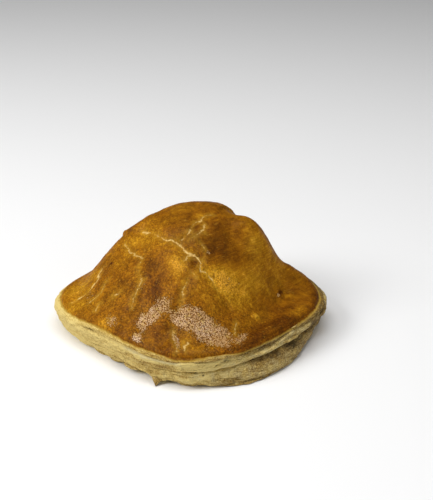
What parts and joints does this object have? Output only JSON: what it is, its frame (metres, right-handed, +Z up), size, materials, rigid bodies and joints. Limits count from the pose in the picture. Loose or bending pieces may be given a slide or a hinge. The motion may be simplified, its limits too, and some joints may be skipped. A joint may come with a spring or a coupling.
{
  "type": "cheese pie",
  "caption": "Square puff pastry cheese pie with a tall lopsided glazed dome, a flat rim and cut flaky sides.",
  "frame": {"origin": "middle of the plan box at the underside, on the surface the pie rests on", "axes": "+Z up; the square's sides face +X, -X, +Y and -Y, and the corner between +X and -Y faced the camera in the picture"},
  "size_m": [0.1198, 0.1134, 0.0574],
  "materials": {
    "pastry": "baked puff pastry under an egg glaze, golden brown and glossy above, pale and flaky at the cut sides"
  },
  "bodies": {
    "root": {"pie": "pastry"}
  },
  "joints": []
}
